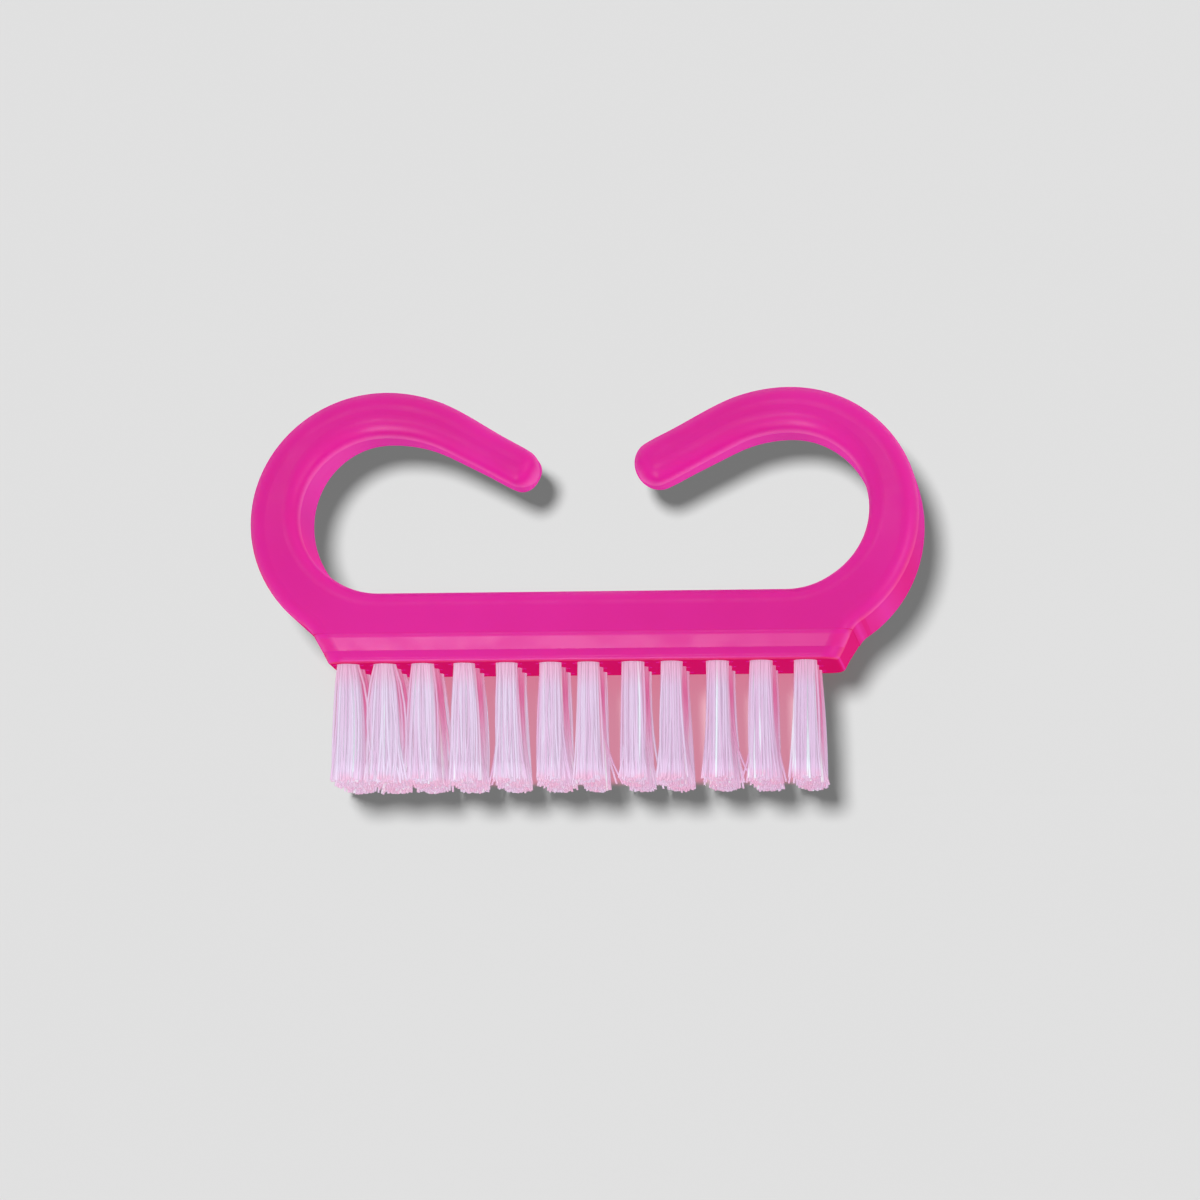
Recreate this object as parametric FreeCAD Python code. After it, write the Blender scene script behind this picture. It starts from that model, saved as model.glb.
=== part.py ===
import FreeCAD, Part
import math
import os

# Nail brush: a moulded bar bent up at both ends into two curled horns, with an inset plinth
# under it, all one piece. Three rows of nylon tufts stand in blind holes in the plinth, and a
# short piece of flat wire holds the fold of each tuft at the bottom of its hole.
# Frame: millimetres, X along the brush, Y from front to back, +Z up. The brush stands on its
# bristle tips, and the origin is on that floor under the middle of the handle.

# Tufts, in columns along X and rows along Y
row_names = ["front", "middle", "back"]
column_pitch = 4.0
row_pitch = 3.6
hole_diameter = 2.5
hole_depth = 4.2
bristle_length = 11.6  # from the plinth to the tips
tuft_clearance = 0.05
row_splay = 0.6  # how far the tips of an outer row lean out past its roots
tip_lean = 0.2  # how far all tips have bent towards +X
tip_gap = 1.2  # between the spread ends of neighbouring tufts, where they have spread least
# How far each column of holes is off the even pitch, as shares of the pitch
column_shift_shares = [-0.03, -0.14, -0.22, -0.23, -0.19, -0.12, -0.23, -0.14, -0.22, -0.11, -0.06, 0]
# How much of the tip gap the tufts of each column leave open, the first ones having spread most
column_gap_shares = [0.15, 0.15, 0.5, 0.75, 1, 0.45, 0.6, 0.7, 0.7, 1, 1, 1]

# Ridges that the filaments of a tuft fall into, with furrows between them
ridge_count = 8
furrow_share = 0.2  # of the tuft's radius

# Anchors of flat wire
anchor_bite = 0.2  # how far each end cuts into the side of the hole
anchor_height = 1.5
anchor_thickness = 0.3
anchor_clearance = 0.03
fold_height = 0.9  # bundle between the anchor and the bottom of the hole

# Plinth, with the field of holes nearer its left end
left_margin = 0.65
right_margin = 1.95
side_margin = 0.85
plinth_height = 1.15
plinth_end_slope = 28.0
plinth_corner_radius = 1.8
plinth_edge_radius = 0.5

# Bar, with a sloped ledge from the plinth up to its face
bar_overhang = 1.1  # past the front and back of the plinth
bar_thickness = 5.3
bar_edge_radius = 1.5
bar_drop = 0.25  # of the ledge's foot below the loops
ledge_height = 1.55
ledge_radius = 0.8  # where the ledge turns up into the face
ledge_inset = 0.05  # of the ledge's upper rim within the bar

# Horns: a root with the bar's section, the rest of a loop up to the crown, a flatter brow, then a
# straight end
root_turn = 2.0  # of the loop, from the hollow under the root to the root's end
loop_inset = 4.95  # the loop's middle, in from the end of the plinth
loop_radius = 10.3  # of the middle line, as is the brow's
loop_turn = 180.0
brow_radius = 14.0
left_brow_turn = 29.0
right_brow_turn = 27.5
horn_end_length = 7.2
crown_width = 4.45
crown_depth = 8.0
left_tip_width = 3.75
right_tip_width = 4.4  # this horn stays fuller to its end
tip_depth = 6.5
horn_round_share = 0.9  # of half the section's width, for the radius of its edges

# Steps in which the ledge turns, and in which a horn's sections follow its middle line
ledge_steps = 5
loop_steps = 12
brow_steps = 4
end_steps = 3
dome_steps = 6
dome_turn = 83.0  # of the quarter circle that rounds off the tip

# Every cut runs past the solid by this much, and edges nearer than the tolerance are one edge
overrun = 1.0
tolerance = 0.01

# Sizes and places that follow
column_count = len(column_shift_shares)
field_length = column_pitch * (column_count - 1) + hole_diameter
field_depth = row_pitch * (len(row_names) - 1) + hole_diameter
plinth_length = field_length + left_margin + right_margin
plinth_depth = field_depth + 2 * side_margin
bar_depth = plinth_depth + 2 * bar_overhang
bar_span = plinth_length - 2 * loop_inset
tip_row_pitch = row_pitch + row_splay
anchor_length = hole_diameter + 2 * anchor_bite
plinth_z = bristle_length
ledge_z = plinth_z + plinth_height
body_foot_z = ledge_z + ledge_height
bar_middle_z = ledge_z + bar_drop + bar_thickness / 2
loop_middle_z = bar_middle_z + loop_radius
outer_radius = loop_radius + bar_thickness / 2
inner_radius = loop_radius - bar_thickness / 2
anchor_top_z = plinth_z + hole_depth - fold_height
anchor_bottom_z = anchor_top_z - anchor_height
x_axis = FreeCAD.Vector(1, 0, 0)
y_axis = FreeCAD.Vector(0, 1, 0)
z_axis = FreeCAD.Vector(0, 0, 1)


def mix(first, last, share):
    return first + (last - first) * share


def ease(share):
    """A share from 0 to 1 that starts and ends with no slope."""
    return share * share * (3 - 2 * share)


def rise(share):
    """A share from 0 to 1 that starts at once and ends with no slope."""
    return math.sin(share * math.pi / 2)


def rounded_wire(middle, across, along, width, depth, radius):
    """A rectangle with rounded corners, width measured along `across` and depth along `along`."""
    corners = [(1, 1), (-1, 1), (-1, -1), (1, -1)]
    arcs = []
    for quarter, (side, end) in enumerate(corners):
        centre = middle + across * (side * (width / 2 - radius)) + along * (end * (depth / 2 - radius))
        points = []
        for turn in [quarter, quarter + 1 / 2, quarter + 1]:
            angle = turn * math.pi / 2
            points.append(centre + across * (radius * math.cos(angle)) + along * (radius * math.sin(angle)))
        arcs.append(points)
    edges = []
    for index, points in enumerate(arcs):
        next_start = arcs[(index + 1) % len(arcs)][0]
        edges.append(Part.Arc(*points).toShape())
        edges.append(Part.makeLine(points[-1], next_start))
    return Part.Wire(edges)


def around(side, radius, angle):
    """A point on a loop, at this angle from its lowest point, with side +1 towards +X and -1 towards -X."""
    turn = FreeCAD.Vector(side * math.sin(angle), 0, -math.cos(angle))
    return FreeCAD.Vector(side * bar_span / 2, 0, loop_middle_z) + turn * radius


def arc(first, middle, last):
    return Part.Arc(first, middle, last).toShape()


def end_x(z):
    """How far out the sloped end of the plinth and of the bar's foot is at this height."""
    return plinth_length / 2 + (z - plinth_z) * math.tan(math.radians(plinth_end_slope))


def neck_hollow(side):
    """The low end, middle and high end of the hollow from the foot's end to the outside of a loop."""
    slope = math.radians(plinth_end_slope)
    outward = FreeCAD.Vector(side * math.cos(slope), 0, -math.sin(slope))
    loop_middle = around(side, 0, 0)
    low = FreeCAD.Vector(side * end_x(body_foot_z), 0, body_foot_z)
    from_loop = low - loop_middle
    spare = from_loop.dot(from_loop) - outer_radius**2
    hollow_radius = spare / (2 * (outer_radius - from_loop.dot(outward)))
    centre = low + outward * hollow_radius
    toward_loop = (loop_middle - centre).normalize()
    bisector = (toward_loop - outward).normalize()
    return low, centre + bisector * hollow_radius, centre + toward_loop * hollow_radius


def neck_angle():
    """How far round a loop the hollow under its root ends."""
    _, _, high = neck_hollow(1)
    from_loop = high - around(1, 0, 0)
    return math.atan2(from_loop.x, -from_loop.z)


def end_outline(side):
    """The rounded edges of one end of the body, up its outside and down its inside, and the edge between."""
    low, middle, high = neck_hollow(side)
    root_angle = neck_angle() + math.radians(root_turn)
    outer_end = around(side, outer_radius, root_angle)
    inner_end = around(side, inner_radius, root_angle)
    rounded = [
        arc(low, middle, high),
        arc(high, around(side, outer_radius, (neck_angle() + root_angle) / 2), outer_end),
        arc(inner_end, around(side, inner_radius, root_angle / 2), around(side, inner_radius, 0)),
    ]
    return rounded, Part.makeLine(outer_end, inner_end)


def make_body():
    """The bar above its ledge with the roots of both horns, rounded all along."""
    rounded_left, left_end = end_outline(-1)
    rounded_right, right_end = end_outline(1)
    top = Part.makeLine(around(-1, inner_radius, 0), around(1, inner_radius, 0))
    foot = Part.makeLine(neck_hollow(-1)[0], neck_hollow(1)[0])
    rounded = rounded_left + rounded_right + [top]
    wire = Part.Wire(Part.sortEdges(rounded + [left_end, right_end, foot])[0])
    wire.translate(y_axis * (-bar_depth / 2))
    block = Part.Face(wire).extrude(y_axis * bar_depth)
    edges = []
    for edge in block.Edges:
        flat = FreeCAD.Vector(edge.CenterOfMass.x, 0, edge.CenterOfMass.z)
        along_outline = any(flat.distanceToPoint(other.CenterOfMass) < tolerance for other in rounded)
        if along_outline and edge.BoundBox.YLength < tolerance:
            edges.append(edge)
    return block.makeFillet(bar_edge_radius, edges)


def ledge_profile():
    """Heights and half depths up the ledge: a slope from the plinth's wall, then an arc up into the face."""
    rim_y = bar_depth / 2 - ledge_inset
    width = rim_y - plinth_depth / 2
    centre_y = rim_y - ledge_radius
    slope_length = math.sqrt((ledge_radius - width) ** 2 + ledge_height**2 - ledge_radius**2)
    turn = math.atan2(ledge_height, ledge_radius - width) - math.atan2(slope_length, ledge_radius)
    yield ledge_z, plinth_depth / 2
    for step in range(ledge_steps + 1):
        angle = turn * (1 - step / ledge_steps)
        yield body_foot_z - ledge_radius * math.sin(angle), centre_y + ledge_radius * math.cos(angle)


def make_horn(side, brow_turn, tip_width):
    """One horn from the end of its root to its rounded tip."""
    sections = []

    def ahead(angle):
        return FreeCAD.Vector(side * math.cos(angle), 0, math.sin(angle))

    def add_section(middle, angle, width, depth, round_share):
        heading = ahead(angle)
        across = FreeCAD.Vector(-heading.z, 0, heading.x)
        radius = min(width, depth) / 2 * round_share
        sections.append(rounded_wire(middle, across, y_axis, width, depth, radius))

    bar_round_share = bar_edge_radius / (bar_thickness / 2)
    root_angle = neck_angle() + math.radians(root_turn)
    crown_angle = math.radians(loop_turn)
    for step in range(loop_steps + 1):
        angle = mix(root_angle, crown_angle, step / loop_steps)
        share = ease(step / loop_steps)
        width = mix(bar_thickness, crown_width, rise(step / loop_steps))
        depth = mix(bar_depth, crown_depth, share)
        round_share = mix(bar_round_share, horn_round_share, share)
        add_section(around(side, loop_radius, angle), angle, width, depth, round_share)

    tip_angle = math.radians(loop_turn + brow_turn)
    brow_shift = around(side, loop_radius - brow_radius, crown_angle) - around(side, 0, 0)
    brow_length = brow_radius * math.radians(brow_turn)

    def add_outer_section(middle, angle, length):
        """A section at this length past the crown."""
        share = ease(length / (brow_length + horn_end_length))
        width = mix(crown_width, tip_width, share)
        depth = mix(crown_depth, tip_depth, share)
        add_section(middle, angle, width, depth, horn_round_share)

    for step in range(1, brow_steps + 1):
        share = step / brow_steps
        angle = mix(crown_angle, tip_angle, share)
        add_outer_section(around(side, brow_radius, angle) + brow_shift, angle, brow_length * share)

    brow_end = around(side, brow_radius, tip_angle) + brow_shift
    for step in range(1, end_steps + 1):
        length = horn_end_length * step / end_steps
        add_outer_section(brow_end + ahead(tip_angle) * length, tip_angle, brow_length + length)

    tip_middle = brow_end + ahead(tip_angle) * horn_end_length
    for step in range(1, dome_steps + 1):
        dome_angle = math.radians(dome_turn) * step / dome_steps
        shrink = math.cos(dome_angle)
        middle = tip_middle + ahead(tip_angle) * (tip_width / 2 * math.sin(dome_angle))
        add_section(middle, tip_angle, tip_width * shrink, tip_depth * shrink, horn_round_share)
    return Part.makeLoft(sections, True, False)


def make_foot():
    """The inset plinth that carries the tufts and the ledge above it, with ends that lean out."""
    profile = [(plinth_z, plinth_depth / 2)] + list(ledge_profile())
    wires = []
    for z, half_depth in profile:
        middle = FreeCAD.Vector(0, 0, z)
        length = 2 * (end_x(z) - ledge_inset * (z - plinth_z) / (body_foot_z - plinth_z))
        wires.append(rounded_wire(middle, x_axis, y_axis, length, 2 * half_depth, plinth_corner_radius))
    core_middle = FreeCAD.Vector(0, 0, bar_middle_z)
    wires.append(rounded_wire(core_middle, x_axis, y_axis, plinth_length, plinth_depth, plinth_corner_radius))
    block = Part.makeLoft(wires, True, True)
    bottom_edges = [edge for edge in block.Edges if edge.BoundBox.ZMax < plinth_z + tolerance]
    return block.makeFillet(plinth_edge_radius, bottom_edges)


def column_places():
    """Each column's place along X and the radius of its tips, from the room that its neighbours leave."""
    first_x = left_margin + hole_diameter / 2 - plinth_length / 2
    places = [first_x + (column + shift) * column_pitch for column, shift in enumerate(column_shift_shares)]
    for column, x in enumerate(places):
        neighbours = places[max(column - 1, 0) : column] + places[column + 1 : column + 2]
        room = min([tip_row_pitch] + [abs(x - other) for other in neighbours])
        yield x, (room - tip_gap * column_gap_shares[column]) / 2


def tuft_places():
    """Each tuft's node name, the middle of its hole's mouth, the middle of its tip and its tip radius."""
    for row, row_name in enumerate(row_names):
        row_step = row - (len(row_names) - 1) / 2
        for column, (x, tip_radius) in enumerate(column_places()):
            mouth = FreeCAD.Vector(x, row_step * row_pitch, plinth_z)
            tip = FreeCAD.Vector(x + tip_lean, row_step * tip_row_pitch, 0)
            yield f"tuft_{row_name}_{column + 1:02d}", mouth, tip, tip_radius


def anchor_box(mouth, bottom_z, gap):
    """A flat box across the hole up to an anchor's top, larger than the anchor by `gap` at its sides."""
    length = anchor_length + 2 * gap
    thickness = anchor_thickness + 2 * gap
    corner = FreeCAD.Vector(mouth.x - length / 2, mouth.y - thickness / 2, bottom_z)
    return Part.makeBox(length, thickness, anchor_top_z - bottom_z, corner)


def make_handle():
    left_horn = make_horn(-1, left_brow_turn, left_tip_width)
    right_horn = make_horn(1, right_brow_turn, right_tip_width)
    handle = make_body().fuse([left_horn, right_horn, make_foot()]).removeSplitter()
    cutters = []
    for _, mouth, _, _ in tuft_places():
        below = mouth - z_axis * overrun
        cutters.append(Part.makeCylinder(hole_diameter / 2, hole_depth + overrun, below))
        # The ends of an anchor plough a groove up both sides of the hole as it is driven in.
        cutters.append(anchor_box(mouth, below.z, anchor_clearance))
    return handle.cut(cutters)


def ridged_wire(middle, radius):
    """A ring of arcs that meet in furrows, one arc for each ridge of a tuft."""

    def point(turn, distance):
        angle = 2 * math.pi * turn / ridge_count
        return middle + x_axis * (distance * math.cos(angle)) + y_axis * (distance * math.sin(angle))

    furrow_radius = radius * (1 - furrow_share)
    edges = []
    for ridge in range(ridge_count):
        first = point(ridge - 1 / 2, furrow_radius)
        last = point(ridge + 1 / 2, furrow_radius)
        edges.append(arc(first, point(ridge, radius), last))
    return Part.Wire(edges)


def make_tuft(mouth, tip, tip_radius):
    """A bundle seated on the bottom of its hole and slotted for its anchor, ridged and spread below."""
    root_radius = hole_diameter / 2 - tuft_clearance
    shank = Part.makeCylinder(root_radius, hole_depth, mouth)
    wires = [ridged_wire(mouth, root_radius - tuft_clearance), ridged_wire(tip, tip_radius)]
    spread = Part.makeLoft(wires, True, True)
    slot = anchor_box(mouth, anchor_bottom_z, anchor_clearance)
    return shank.fuse(spread).removeSplitter().cut(slot)


os.makedirs("parts", exist_ok=True)
make_handle().exportStep("parts/handle.step")
anchors = []
for name, mouth, tip, tip_radius in tuft_places():
    make_tuft(mouth, tip, tip_radius).exportStep(f"parts/{name}.step")
    anchors.append(anchor_box(mouth, anchor_bottom_z, 0))
Part.makeCompound(anchors).exportStep("parts/tuft_anchors.step")
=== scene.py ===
import math
import random

import bpy
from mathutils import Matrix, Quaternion, Vector


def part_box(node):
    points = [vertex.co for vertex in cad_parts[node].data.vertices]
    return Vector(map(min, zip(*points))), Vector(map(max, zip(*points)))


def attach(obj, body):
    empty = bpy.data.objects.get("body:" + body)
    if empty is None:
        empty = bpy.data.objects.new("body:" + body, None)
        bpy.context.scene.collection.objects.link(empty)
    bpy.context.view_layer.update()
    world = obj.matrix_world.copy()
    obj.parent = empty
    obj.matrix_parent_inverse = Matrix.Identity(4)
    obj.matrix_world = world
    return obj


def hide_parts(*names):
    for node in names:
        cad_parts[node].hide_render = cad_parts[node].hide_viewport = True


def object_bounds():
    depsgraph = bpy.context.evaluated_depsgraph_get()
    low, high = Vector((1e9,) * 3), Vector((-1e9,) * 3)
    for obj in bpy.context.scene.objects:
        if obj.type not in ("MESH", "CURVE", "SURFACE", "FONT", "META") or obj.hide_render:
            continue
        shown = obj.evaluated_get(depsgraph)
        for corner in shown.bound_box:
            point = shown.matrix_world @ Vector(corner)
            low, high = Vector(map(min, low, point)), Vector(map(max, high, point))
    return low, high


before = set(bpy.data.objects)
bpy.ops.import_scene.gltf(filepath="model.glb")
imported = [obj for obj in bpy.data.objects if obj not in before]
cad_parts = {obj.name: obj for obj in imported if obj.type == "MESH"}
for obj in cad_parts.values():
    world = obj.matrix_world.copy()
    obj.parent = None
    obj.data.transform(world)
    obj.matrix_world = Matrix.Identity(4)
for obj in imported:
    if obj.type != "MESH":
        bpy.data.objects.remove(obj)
cad_low, cad_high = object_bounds()

# All lengths below are in metres, and this turns millimetres into them.
mm = 0.001

# Places read from the frame, and the tufts' rows and columns
handle_low, handle_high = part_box("handle")
plinth_z = handle_low.z
row_names = ["front", "middle", "back"]
column_count = 12

# Tufts: the row pitch is that of the holes, the tips follow the frame
row_pitch = 3.6 * mm
root_radius = 1.15 * mm
tip_lean = 0.2 * mm  # of the tips past their holes, towards +X
ridge_count = 8
furrow_share = 0.2  # of a tuft's radius, for the furrows between its ridges

# Filaments
filaments_per_tuft = 100
filament_radius = 0.1 * mm
filament_sides = 6
filament_rings = 7
golden_angle = math.pi * (3 - math.sqrt(5))  # from each filament to the next, round the tuft
angle_jitter = 0.2  # radians to either side
root_depth = 1.2 * mm  # how far the filaments run up into their holes
tip_dome = 0.35 * mm  # the rim of a tuft ends this much short of its middle
tip_scatter = 0.09 * mm
filament_bow = 0.1 * mm
stray_power = 2.5  # over 1, so that filaments stray mostly near their tips
wisp_share = 0.08  # of the filaments, which stray further
wisp_reach = 1.8  # times the others

# How far single filaments stray at their tips in each column, as shares of the tip radius
column_stray_shares = [0.08, 0.26, 0.18, 0.17, 0.15, 0.16, 0.16, 0.15, 0.17, 0.15, 0.17, 0.12]
row_stray_shares = [1, 2, 1]  # times the column's stray, from the front row to the back row
# How soon the filaments of each column spread: under 1 near the root, over 1 near the tip
column_spread_powers = [0.6, 0.6, 0.8, 1.1, 1.15, 1.15, 1.15, 1.15, 1.15, 1.15, 1.1, 1.15]
# How far the sides of each column bulge half-way down, towards the columns next to it
left_bulges = [0.4 * mm, 0.4 * mm, 0.25 * mm, 0.15 * mm]
column_bulges = left_bulges + [0] * (column_count - len(left_bulges))
bulge_range = (0.7, 1.3)  # times that, for single filaments

# Painted pink light from the plastic in the filaments, by rows out from the middle row
inner_most = 0.92
inner_end = 1.25
inner_fade = 0.8

# Colours, linear
magenta = (0.70, 0.010, 0.31, 1)
# Painted light: a paler pink for the handle's walls
painted_light_magenta = (0.84, 0.043, 0.39, 1)
deep_magenta = (0.66, 0.007, 0.27, 1)
# Painted shade: deep red for the handle's undersides and ends low down
painted_shade_ruby = (0.76, 0.006, 0.135, 1)
filament_white = (0.81, 0.70, 0.90, 1)
filament_lilac = (0.77, 0.53, 0.77, 1)
filament_mauve = (0.70, 0.42, 0.68, 1)
# Painted light: pink for the filaments' roots and cut tips
filament_pink = (0.88, 0.34, 0.54, 1)
# Painted light: rose for the filaments among the tufts
filament_rose = (0.82, 0.08, 0.31, 1)
# Painted highlights: bluish-white for glints on a few filaments
filament_glint = (0.86, 0.90, 1.0, 1)
wire_dark = (0.62, 0.44, 0.18, 1)
wire_bright = (0.75, 0.58, 0.3, 1)
backdrop_grey = (0.745, 0.745, 0.745, 1)
floor_grey = (0.90, 0.90, 0.90, 1)
glow_pink = (1, 0.13, 0.34)

# Noise in the materials: scales in marks to the metre, and stretches, under 1 for longer marks
flow_scale, flow_stretch = 60, (1, 1, 0.5)
scuff_scale, scuff_detail = 420, 5.0
skin_scale = 900
streak_scale, streak_stretch = 900, (1, 1, 0.08)
blotch_scale = 700
drawing_scale, drawing_stretch = 3000, (0.05, 1, 1)
grain_scale, grain_contrast = 40, 1.01

# Camera, fitted to the outline in the photograph
camera_azimuth = 6.28
camera_elevation = -8.41
camera_distance = 583.7 * mm
camera_roll = 0.29
camera_lens = 181.35
camera_clip_start = 10 * mm
picture_middle = Vector((1.18 * mm, 0, 18.24 * mm))

# Stage
half_stage = 1000 * mm
backdrop_gap = 0.1 * mm

# Suns: name, azimuth, elevation and level, where a level of 1 shows a white surface as white
ambient_level = 0.3
sun_angle = 20  # degrees across, which softens the edges of shadows
backdrop_sun_angle = 12
backdrop_sun = ("backdrop_key", -8, 8.5, 0.2925)
floor_sun = ("floor_key", 20, 75, 0.28)
handle_suns = [
    ("front", 6, -8, 0.45),
    ("top", 20, 75, 0.35),
    ("under", 10, -80, 0.42),
    ("left", -80, 5, 0.42),
    ("right", 80, 5, 0.42),
    ("behind", 180, 15, 0.5),
]
# The same for the tufts, and whether the sun throws shadows
tuft_suns = [
    ("front_tufts", -8, 4, 0.2, True),
    ("fill_tufts", 6, -8, 0.36, False),
    ("left_tufts", -75, 0, 0.36, False),
    ("right_tufts", 80, 0, 0.3, False),
    ("under_tufts", 10, -80, 0.35, False),
    ("behind_tufts", 180, 20, 0.3, True),
    ("behind_fill_tufts", 180, 0, 0.4, False),
]
# Panels that only the gloss shows: name, azimuth, elevation, distance, size and radiance
gloss_panels = [
    ("front_panel", -3, 32, 400 * mm, (120 * mm, 60 * mm), 4),
    ("crown_panel", -6, -18, 300 * mm, (60 * mm, 30 * mm), 12),
    ("low_panel", -26, -67, 160 * mm, (60 * mm, 80 * mm), 5.5),
    ("right_panel", 65, -5, 250 * mm, (50 * mm, 160 * mm), 2.5),
]
# The pink lamp between the bristles and the backdrop
glow_radiance = 0.8
glow_gap = 0.6 * mm  # to the backdrop
glow_end_margin = 2.4 * mm  # short of the tufts at each end
glow_lift = 1.2 * mm


def direction(azimuth, elevation):
    """A unit vector from the object, azimuth 0 towards -Y and 90 towards +X, in degrees."""
    a, e = math.radians(azimuth), math.radians(elevation)
    return Vector((math.sin(a) * math.cos(e), -math.cos(a) * math.cos(e), math.sin(e)))


def add_object(name, data):
    """A new object in the scene."""
    obj = bpy.data.objects.new(name, data)
    bpy.context.scene.collection.objects.link(obj)
    return obj


# Materials


class Graph:
    """The nodes of a material or a world, with a short call for each kind that is used here."""

    # The places of a Mix node's colours among its sockets
    mix_first, mix_last, mix_result = 6, 7, 2

    def __init__(self, tree):
        self.nodes = tree.nodes
        self.links = tree.links

    def add(self, kind):
        return self.nodes.new("ShaderNode" + kind)

    def place(self):
        """The place on the object, in metres."""
        return self.add("TexCoord").outputs["Object"]

    def axes(self, vector):
        """The X, Y and Z of a vector."""
        node = self.add("SeparateXYZ")
        self.links.new(vector, node.inputs["Vector"])
        return node.outputs

    def attribute(self, name):
        node = self.add("Attribute")
        node.attribute_name = name
        return node.outputs["Fac"]

    def mix(self, share, first, last):
        """A mix of two colours, each a value or a socket."""
        node = self.add("Mix")
        node.data_type = "RGBA"
        self.links.new(share, node.inputs["Factor"])
        for index, colour in [(self.mix_first, first), (self.mix_last, last)]:
            if isinstance(colour, tuple):
                node.inputs[index].default_value = colour
            else:
                self.links.new(colour, node.inputs[index])
        return node.outputs[self.mix_result]

    def ranged(self, value, source, target=(0, 1)):
        """A value brought smoothly from one range to another, either of which may fall."""
        node = self.add("MapRange")
        node.interpolation_type = "SMOOTHSTEP"
        self.links.new(value, node.inputs["Value"])
        for name, limit in zip(["From Min", "From Max", "To Min", "To Max"], source + target):
            node.inputs[name].default_value = limit
        return node.outputs["Result"]

    def maths(self, operation, *values):
        node = self.add("Math")
        node.operation = operation
        for index, value in enumerate(values):
            self.links.new(value, node.inputs[index])
        return node.outputs[0]

    def noise(self, place, scale, detail=2.0, stretch=(1, 1, 1)):
        mapping = self.add("Mapping")
        mapping.inputs["Scale"].default_value = stretch
        self.links.new(place, mapping.inputs["Vector"])
        node = self.add("TexNoise")
        node.inputs["Scale"].default_value = scale
        node.inputs["Detail"].default_value = detail
        self.links.new(mapping.outputs["Vector"], node.inputs["Vector"])
        return node.outputs["Fac"]


def new_material(name):
    """A material, its graph and its shader."""
    material = bpy.data.materials.new(name)
    material.use_nodes = True
    graph = Graph(material.node_tree)
    return material, graph, graph.nodes["Principled BSDF"]


def handle_colour(graph, place):
    """Pink with flow marks, painted paler on the inner and outer walls as painted light, and painted redder
    low at the ends and underneath as painted shade.
    """
    # Ranges of noise, of the normal's parts and of height, from none of a colour to the most of it
    flow_range = (0.35, 0.7)
    wall_range = (0.6, 0.15)
    under_range = (-0.6, -0.97)
    end_range, end_shares = (0.65, 0.97), (0, 0.95)
    low_range = (plinth_z + 17 * mm, plinth_z + 2.5 * mm)

    facing = graph.axes(graph.add("NewGeometry").outputs["Normal"])
    flow = graph.noise(place, flow_scale, stretch=flow_stretch)
    plastic = graph.mix(graph.ranged(flow, flow_range), magenta, deep_magenta)
    # Painted light: walls that don't face front or back are painted paler, in place of the light falling on
    # them.
    front_on = graph.maths("ABSOLUTE", facing["Y"])
    plastic = graph.mix(graph.ranged(front_on, wall_range), plastic, painted_light_magenta)
    # Painted shade: low down, faces that look down or out to the ends are painted deep red.
    end_on = graph.maths("ABSOLUTE", facing["X"])
    outward = graph.ranged(end_on, end_range, end_shares)
    down = graph.ranged(facing["Z"], under_range)
    low = graph.ranged(graph.axes(place)["Z"], low_range)
    red = graph.maths("MULTIPLY", graph.maths("MAXIMUM", down, outward), low)
    return graph.mix(red, plastic, painted_shade_ruby)


def handle_material():
    """Glossy pink plastic with scuffs, a fine uneven skin and a little light inside it."""
    scuff_range, roughness_range = (0.3, 0.75), (0.33, 0.46)
    skin_strength, skin_depth = 0.06, 0.1 * mm
    rim_range, gloss_range = (0.45, 0.8), (0.35, 0)
    inside_share, inside_radius, inside_scale = 0.25, (1.0, 0.15, 0.4), 2.0 * mm

    material, graph, shader = new_material("pink_plastic")
    place = graph.place()
    graph.links.new(handle_colour(graph, place), shader.inputs["Base Color"])
    scuffs = graph.noise(place, scuff_scale, scuff_detail)
    roughness = graph.ranged(scuffs, scuff_range, roughness_range)
    graph.links.new(roughness, shader.inputs["Roughness"])
    bump = graph.add("Bump")
    bump.inputs["Strength"].default_value = skin_strength
    bump.inputs["Distance"].default_value = skin_depth
    graph.links.new(graph.noise(place, skin_scale), bump.inputs["Height"])
    graph.links.new(bump.outputs["Normal"], shader.inputs["Normal"])
    # The gloss fades out towards the rim.
    rim = graph.add("LayerWeight").outputs["Facing"]
    gloss = graph.ranged(rim, rim_range, gloss_range)
    graph.links.new(gloss, shader.inputs["Specular IOR Level"])
    shader.inputs["Subsurface Weight"].default_value = inside_share
    shader.inputs["Subsurface Radius"].default_value = inside_radius
    shader.inputs["Subsurface Scale"].default_value = inside_scale
    return material


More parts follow.
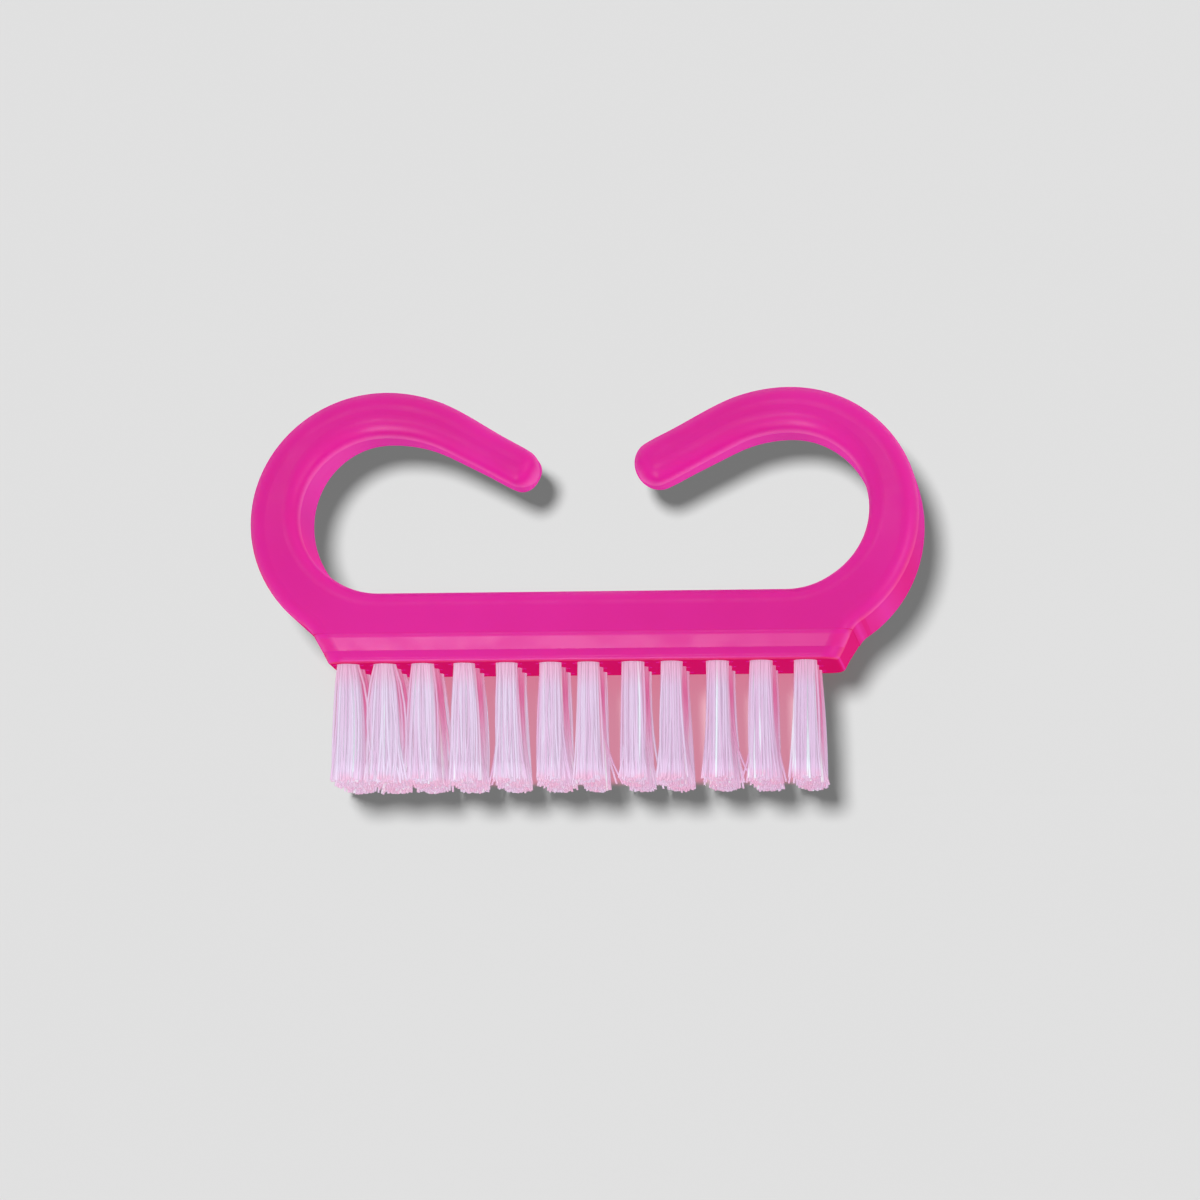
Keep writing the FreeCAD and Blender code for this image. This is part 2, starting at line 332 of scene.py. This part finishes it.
def bristle_colour(graph, place, streak):
    """Lilac-white, a little different in each filament, with painted glints, and painted pink light from
    the plastic at root and tip and among the tufts.
    """
    # Ranges of noise, of tone and of place, and the least and most of a colour that each one gives
    streak_range, streak_shares = (0.5, 0.75), (0, 0.5)
    along_range, along_shares = (-8 * mm, 16 * mm), (0, 0.35)
    glint_tones, glint_range = (0.9, 0.92), (0.45, 0.6)
    up_range, up_shares = (0, plinth_z), (0.15, 1)
    root_range, root_shares = (plinth_z - 3 * mm, plinth_z), (0, 0.55)
    tip_range = (1.4 * mm, 0.2 * mm)
    blotch_range, blotch_shares = (0.42, 0.6), (0.1, 0.5)

    axes = graph.axes(place)
    tone = graph.attribute("tone")
    nylon = graph.mix(tone, filament_lilac, filament_white)
    nylon = graph.mix(graph.ranged(streak, streak_range, streak_shares), nylon, filament_white)
    along = graph.ranged(axes["X"], along_range, along_shares)
    nylon = graph.mix(along, nylon, filament_mauve)
    # Painted highlights: a few filaments are painted bluish-white along their streaks.
    glinting = graph.ranged(tone, glint_tones)
    glint = graph.maths("MULTIPLY", glinting, graph.ranged(streak, glint_range))
    nylon = graph.mix(glint, nylon, filament_glint)
    # Painted light: filaments among the tufts are painted rose, most near the root, in place of pink light
    # from the plastic.
    up_share = graph.ranged(axes["Z"], up_range, up_shares)
    painted_light_among_tufts = graph.maths("MULTIPLY", graph.attribute("inner"), up_share)
    nylon = graph.mix(painted_light_among_tufts, nylon, filament_rose)
    # Painted light: near the root, and in blotches at the cut tips, the filaments are painted pink in place
    # of light from the plastic.
    near_root = graph.ranged(axes["Z"], root_range, root_shares)
    nylon = graph.mix(near_root, nylon, filament_pink)
    blotches = graph.ranged(graph.noise(place, blotch_scale), blotch_range, blotch_shares)
    near_tip = graph.maths("MULTIPLY", graph.ranged(axes["Z"], tip_range), blotches)
    return graph.mix(near_tip, nylon, filament_pink)


def bristle_material():
    """Pale nylon with streaks along the filaments."""
    streak_range, roughness_range = (0.3, 0.7), (0.25, 0.45)

    material, graph, shader = new_material("pale_nylon")
    place = graph.place()
    streak = graph.noise(place, streak_scale, stretch=streak_stretch)
    graph.links.new(bristle_colour(graph, place, streak), shader.inputs["Base Color"])
    roughness = graph.ranged(streak, streak_range, roughness_range)
    graph.links.new(roughness, shader.inputs["Roughness"])
    return material


def anchor_material():
    """Bright flat wire with drawing lines along it."""
    line_range = (0.4, 0.7)
    rough_range, roughness_range = (0.3, 0.7), (0.25, 0.45)

    material, graph, shader = new_material("flat_wire")
    lines = graph.noise(graph.place(), drawing_scale, stretch=drawing_stretch)
    wire = graph.mix(graph.ranged(lines, line_range), wire_dark, wire_bright)
    graph.links.new(wire, shader.inputs["Base Color"])
    roughness = graph.ranged(lines, rough_range, roughness_range)
    graph.links.new(roughness, shader.inputs["Roughness"])
    shader.inputs["Metallic"].default_value = 1.0
    return material


def stage_material(name, colour):
    """A matt surface that is lit from near its normal only, and seen from its front only."""
    lit_size, lit_fade = 0.3, 0.1  # in right angles

    material, graph, plain_shader = new_material(name)
    graph.nodes.remove(plain_shader)
    shader = graph.add("BsdfToon")
    shader.inputs["Size"].default_value = lit_size
    shader.inputs["Smooth"].default_value = lit_fade
    paler = tuple(min(1.0, grain_contrast * part) for part in colour[:3]) + (1,)
    grain = graph.noise(graph.place(), grain_scale)
    graph.links.new(graph.mix(grain, colour, paler), shader.inputs["Color"])
    side = graph.add("MixShader")
    graph.links.new(graph.add("NewGeometry").outputs["Backfacing"], side.inputs[0])
    graph.links.new(shader.outputs[0], side.inputs[1])
    graph.links.new(graph.add("BsdfTransparent").outputs[0], side.inputs[2])
    graph.links.new(side.outputs[0], graph.nodes["Material Output"].inputs["Surface"])
    return material


def set_material(node, material):
    """Gives a CAD node that stays in the scene its material."""
    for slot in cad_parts[node].material_slots:
        slot.material = material


# Tufts


def filament_points(root, tip, power, stray, bow):
    """Points from inside the hole to the tip: straight out of the plinth, then spreading and straying."""
    points = [Vector((root.x, root.y, plinth_z + root_depth))]
    for ring in range(filament_rings):
        share = ring / (filament_rings - 1)
        middle_share = 4 * share * (1 - share)  # 0 at both ends, 1 half-way
        sideways = (tip - root) * (share**power - share)
        sideways.z = 0
        point = root.lerp(tip, share) + sideways
        points.append(point + stray * share**stray_power + bow * middle_share)
    return points


def add_tube(points, verts, faces):
    """A round tube through the points, closed at its tip."""
    first = len(verts)
    for point in points:
        for side in range(filament_sides):
            angle = 2 * math.pi * side / filament_sides
            verts.append(point + Vector((math.cos(angle), math.sin(angle), 0)) * filament_radius)
    for ring in range(len(points) - 1):
        this_ring = first + ring * filament_sides
        next_ring = this_ring + filament_sides
        for side in range(filament_sides):
            after = (side + 1) % filament_sides
            faces.append((this_ring + side, next_ring + side, next_ring + after, this_ring + after))
    end = first + (len(points) - 1) * filament_sides
    faces.append(tuple(reversed(range(end, end + filament_sides))))


def inner_share(rows_out):
    """How much painted pink light from the plastic a filament shows: most among the tufts, none at the
    outer sides.
    """
    return inner_most * min(1, max(0, (inner_end - rows_out) / inner_fade))


def ridge_reach(angle):
    """How far out a tuft's ridges and furrows let a filament lie, as a share of its radius."""
    turn = angle * ridge_count / (2 * math.pi)
    off_ridge = 2 * abs(turn - round(turn))
    return 1 - furrow_share * off_ridge**2


def grow_filaments(node, row, column):
    """A tuft's filaments, from its hole to the tip of its solid: verts, faces, tones and inner shares."""
    chance = random.Random(node)
    low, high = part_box(node)
    row_step = row - (len(row_names) - 1) / 2
    tip_radius = (high.x - low.x) / 2
    x = (low.x + high.x) / 2
    tip_y = {-1: low.y + tip_radius, 0: 0, 1: high.y - tip_radius}[row_step]
    root_middle = Vector((x - tip_lean, row_step * row_pitch, plinth_z))
    tip_middle = Vector((x, tip_y, 0))
    verts, faces, tones, inners = [], [], [], []
    for index in range(filaments_per_tuft):
        radius_share = math.sqrt((index + 0.5) / filaments_per_tuft)
        angle = golden_angle * index + chance.uniform(-angle_jitter, angle_jitter)
        out = Vector((math.cos(angle), math.sin(angle), 0)) * (radius_share * ridge_reach(angle))
        root = root_middle + out * (root_radius - filament_radius)
        reach = column_stray_shares[column] * row_stray_shares[row] * tip_radius
        if chance.random() < wisp_share:
            reach *= wisp_reach
        stray = Vector((chance.gauss(0, reach), chance.gauss(0, reach / 2), 0))
        tip = tip_middle + out * (tip_radius - filament_radius)
        tip.z = tip_dome * radius_share**2 + abs(chance.gauss(0, tip_scatter))
        bow = Vector((chance.gauss(0, 1), chance.gauss(0, 1), 0)) * filament_bow
        next_column = column + math.copysign(1, out.x)
        if 0 <= next_column < column_count:
            bow.x += out.x * column_bulges[column] * chance.uniform(*bulge_range)
        add_tube(filament_points(root, tip, column_spread_powers[column], stray, bow), verts, faces)
        tones += [chance.random()] * (len(verts) - len(tones))
        rows_out = abs(row_step) + row_step * out.y
        inners += [inner_share(rows_out)] * (len(verts) - len(inners))
    return verts, faces, tones, inners


def make_tuft(row, column, material):
    """A tuft of filaments in the place of its solid."""
    node = f"tuft_{row_names[row]}_{column + 1:02d}"
    verts, faces, tones, inners = grow_filaments(node, row, column)
    mesh = bpy.data.meshes.new(node + "_filaments")
    mesh.from_pydata(verts, [], faces)
    # The walls of the tubes are smooth, and their ends are flat.
    mesh.polygons.foreach_set("use_smooth", [len(face) == 4 for face in faces])
    for name, values in [("tone", tones), ("inner", inners)]:
        mesh.attributes.new(name, "FLOAT", "POINT").data.foreach_set("value", values)
    mesh.materials.append(material)
    tuft = add_object(node + "_filaments", mesh)
    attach(tuft, "root")
    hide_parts(node)
    return tuft


# Stage, light and camera


def make_plane(name, middle, normal, material):
    """A square stage plane that is seen by the camera and takes shadows, and lights nothing itself."""
    turn = normal.to_track_quat("Z", "Y")
    corners = [(-1, -1), (1, -1), (1, 1), (-1, 1)]
    verts = [middle + turn @ Vector((u * half_stage, v * half_stage, 0)) for u, v in corners]
    mesh = bpy.data.meshes.new(name)
    mesh.from_pydata(verts, [], [(0, 1, 2, 3)])
    mesh.materials.append(material)
    plane = add_object(name, mesh)
    plane.visible_diffuse = False
    plane.visible_glossy = False
    plane.visible_transmission = False
    plane.visible_shadow = False
    return plane


def make_receivers(name, objects):
    """The objects that a lamp lights, to the exclusion of all others."""
    receivers = bpy.data.collections.new(name)
    for obj in objects:
        receivers.objects.link(obj)
    return receivers


def face_inward(obj, way, roll=0):
    """Turns a lamp or the camera to look back along a direction from the object."""
    obj.rotation_mode = "QUATERNION"
    obj.rotation_quaternion = way.to_track_quat("Z", "Y") @ Quaternion((0, 0, 1), math.radians(roll))


def make_sun(name, azimuth, elevation, level, receivers, angle=sun_angle, shadow=True):
    """Soft parallel light for the colours, with no glare of its own."""
    lamp = bpy.data.lights.new(name, "SUN")
    lamp.energy = level * math.pi
    lamp.angle = math.radians(angle)
    lamp.use_shadow = shadow
    sun = add_object(name, lamp)
    face_inward(sun, direction(azimuth, elevation))
    sun.visible_glossy = False
    sun.light_linking.receiver_collection = receivers


def make_panel(name, size, radiance):
    """A rectangular lamp."""
    lamp = bpy.data.lights.new(name, "AREA")
    lamp.shape = "RECTANGLE"
    lamp.size, lamp.size_y = size
    lamp.energy = radiance * math.pi * size[0] * size[1]
    return add_object(name, lamp)


def make_gloss_panel(name, azimuth, elevation, distance, size, radiance):
    """A lit panel that only the gloss shows."""
    panel = make_panel(name, size, radiance)
    way = direction(azimuth, elevation)
    face_inward(panel, way)
    panel.location = (handle_low + handle_high) / 2 + way * distance
    panel.visible_diffuse = False


def make_glow(y, receivers):
    """The pink light that comes through the plastic and the nylon onto the backdrop behind the bristles."""
    low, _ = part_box("tuft_back_01")
    _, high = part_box(f"tuft_back_{column_count}")
    size = (high.x - low.x - 2 * glow_end_margin, plinth_z)
    glow = make_panel("bristle_glow", size, glow_radiance)
    glow.data.color = glow_pink
    glow.location = ((low.x + high.x) / 2, y, plinth_z / 2 + glow_lift)
    glow.rotation_euler = (math.radians(90), 0, 0)
    glow.visible_camera = False
    glow.visible_glossy = False
    glow.light_linking.receiver_collection = receivers


def make_world():
    """Even light from all round, and the backdrop's grey where the camera or gloss looks past the stage."""
    world = bpy.data.worlds.new("studio")
    bpy.context.scene.world = world
    world.use_nodes = True
    graph = Graph(world.node_tree)
    path = graph.add("LightPath").outputs
    mirrored = graph.maths("MAXIMUM", path["Is Glossy Ray"], path["Is Transmission Ray"])
    seen = graph.maths("MAXIMUM", path["Is Camera Ray"], mirrored)
    ambient = (ambient_level, ambient_level, ambient_level, 1)
    light = graph.mix(seen, ambient, backdrop_grey)
    graph.links.new(light, graph.nodes["Background"].inputs["Color"])


def make_camera():
    lens = bpy.data.cameras.new("camera")
    lens.lens = camera_lens
    lens.clip_start = camera_clip_start
    camera = add_object("camera", lens)
    way = direction(camera_azimuth, camera_elevation)
    camera.location = picture_middle + way * camera_distance
    face_inward(camera, way, camera_roll)
    bpy.context.scene.camera = camera


set_material("handle", handle_material())
set_material("tuft_anchors", anchor_material())
nylon = bristle_material()
tufts = [make_tuft(row, column, nylon) for row in range(len(row_names)) for column in range(column_count)]
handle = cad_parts["handle"]
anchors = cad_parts["tuft_anchors"]

# The brush stands on the floor, against the backdrop that it lies on in the photograph.
floor_place = Vector((0, 0, cad_low.z))
floor_paint = stage_material("floor_paint", floor_grey)
backdrop_place = Vector((0, cad_high.y + backdrop_gap, 0))
backdrop_paint = stage_material("backdrop_paint", backdrop_grey)
floor = make_plane("floor", floor_place, Vector((0, 0, 1)), floor_paint)
backdrop = make_plane("backdrop", backdrop_place, Vector((0, -1, 0)), backdrop_paint)
backdrop.visible_glossy = True

# Diffuse rays miss the brush, so that its pink doesn't tint the stage and the shadows there stay grey.
for piece in [handle] + tufts:
    piece.visible_diffuse = False

make_world()
on_backdrop = make_receivers("lit_backdrop", [backdrop])
on_floor = make_receivers("lit_floor", [floor])
on_handle = make_receivers("lit_handle", [handle, anchors])
on_tufts = make_receivers("lit_tufts", tufts)
make_sun(*backdrop_sun, on_backdrop, backdrop_sun_angle)
make_sun(*floor_sun, on_floor)
make_glow(backdrop_place.y - glow_gap, on_backdrop)
# An even tent of light round the handle, which is clear enough to show hardly any shading of its own
for sun in handle_suns:
    make_sun(*sun, on_handle, shadow=False)
for *sun, shadow in tuft_suns:
    make_sun(*sun, on_tufts, shadow=shadow)
for panel in gloss_panels:
    make_gloss_panel(*panel)

make_camera()
bpy.context.scene.view_settings.view_transform = "Standard"
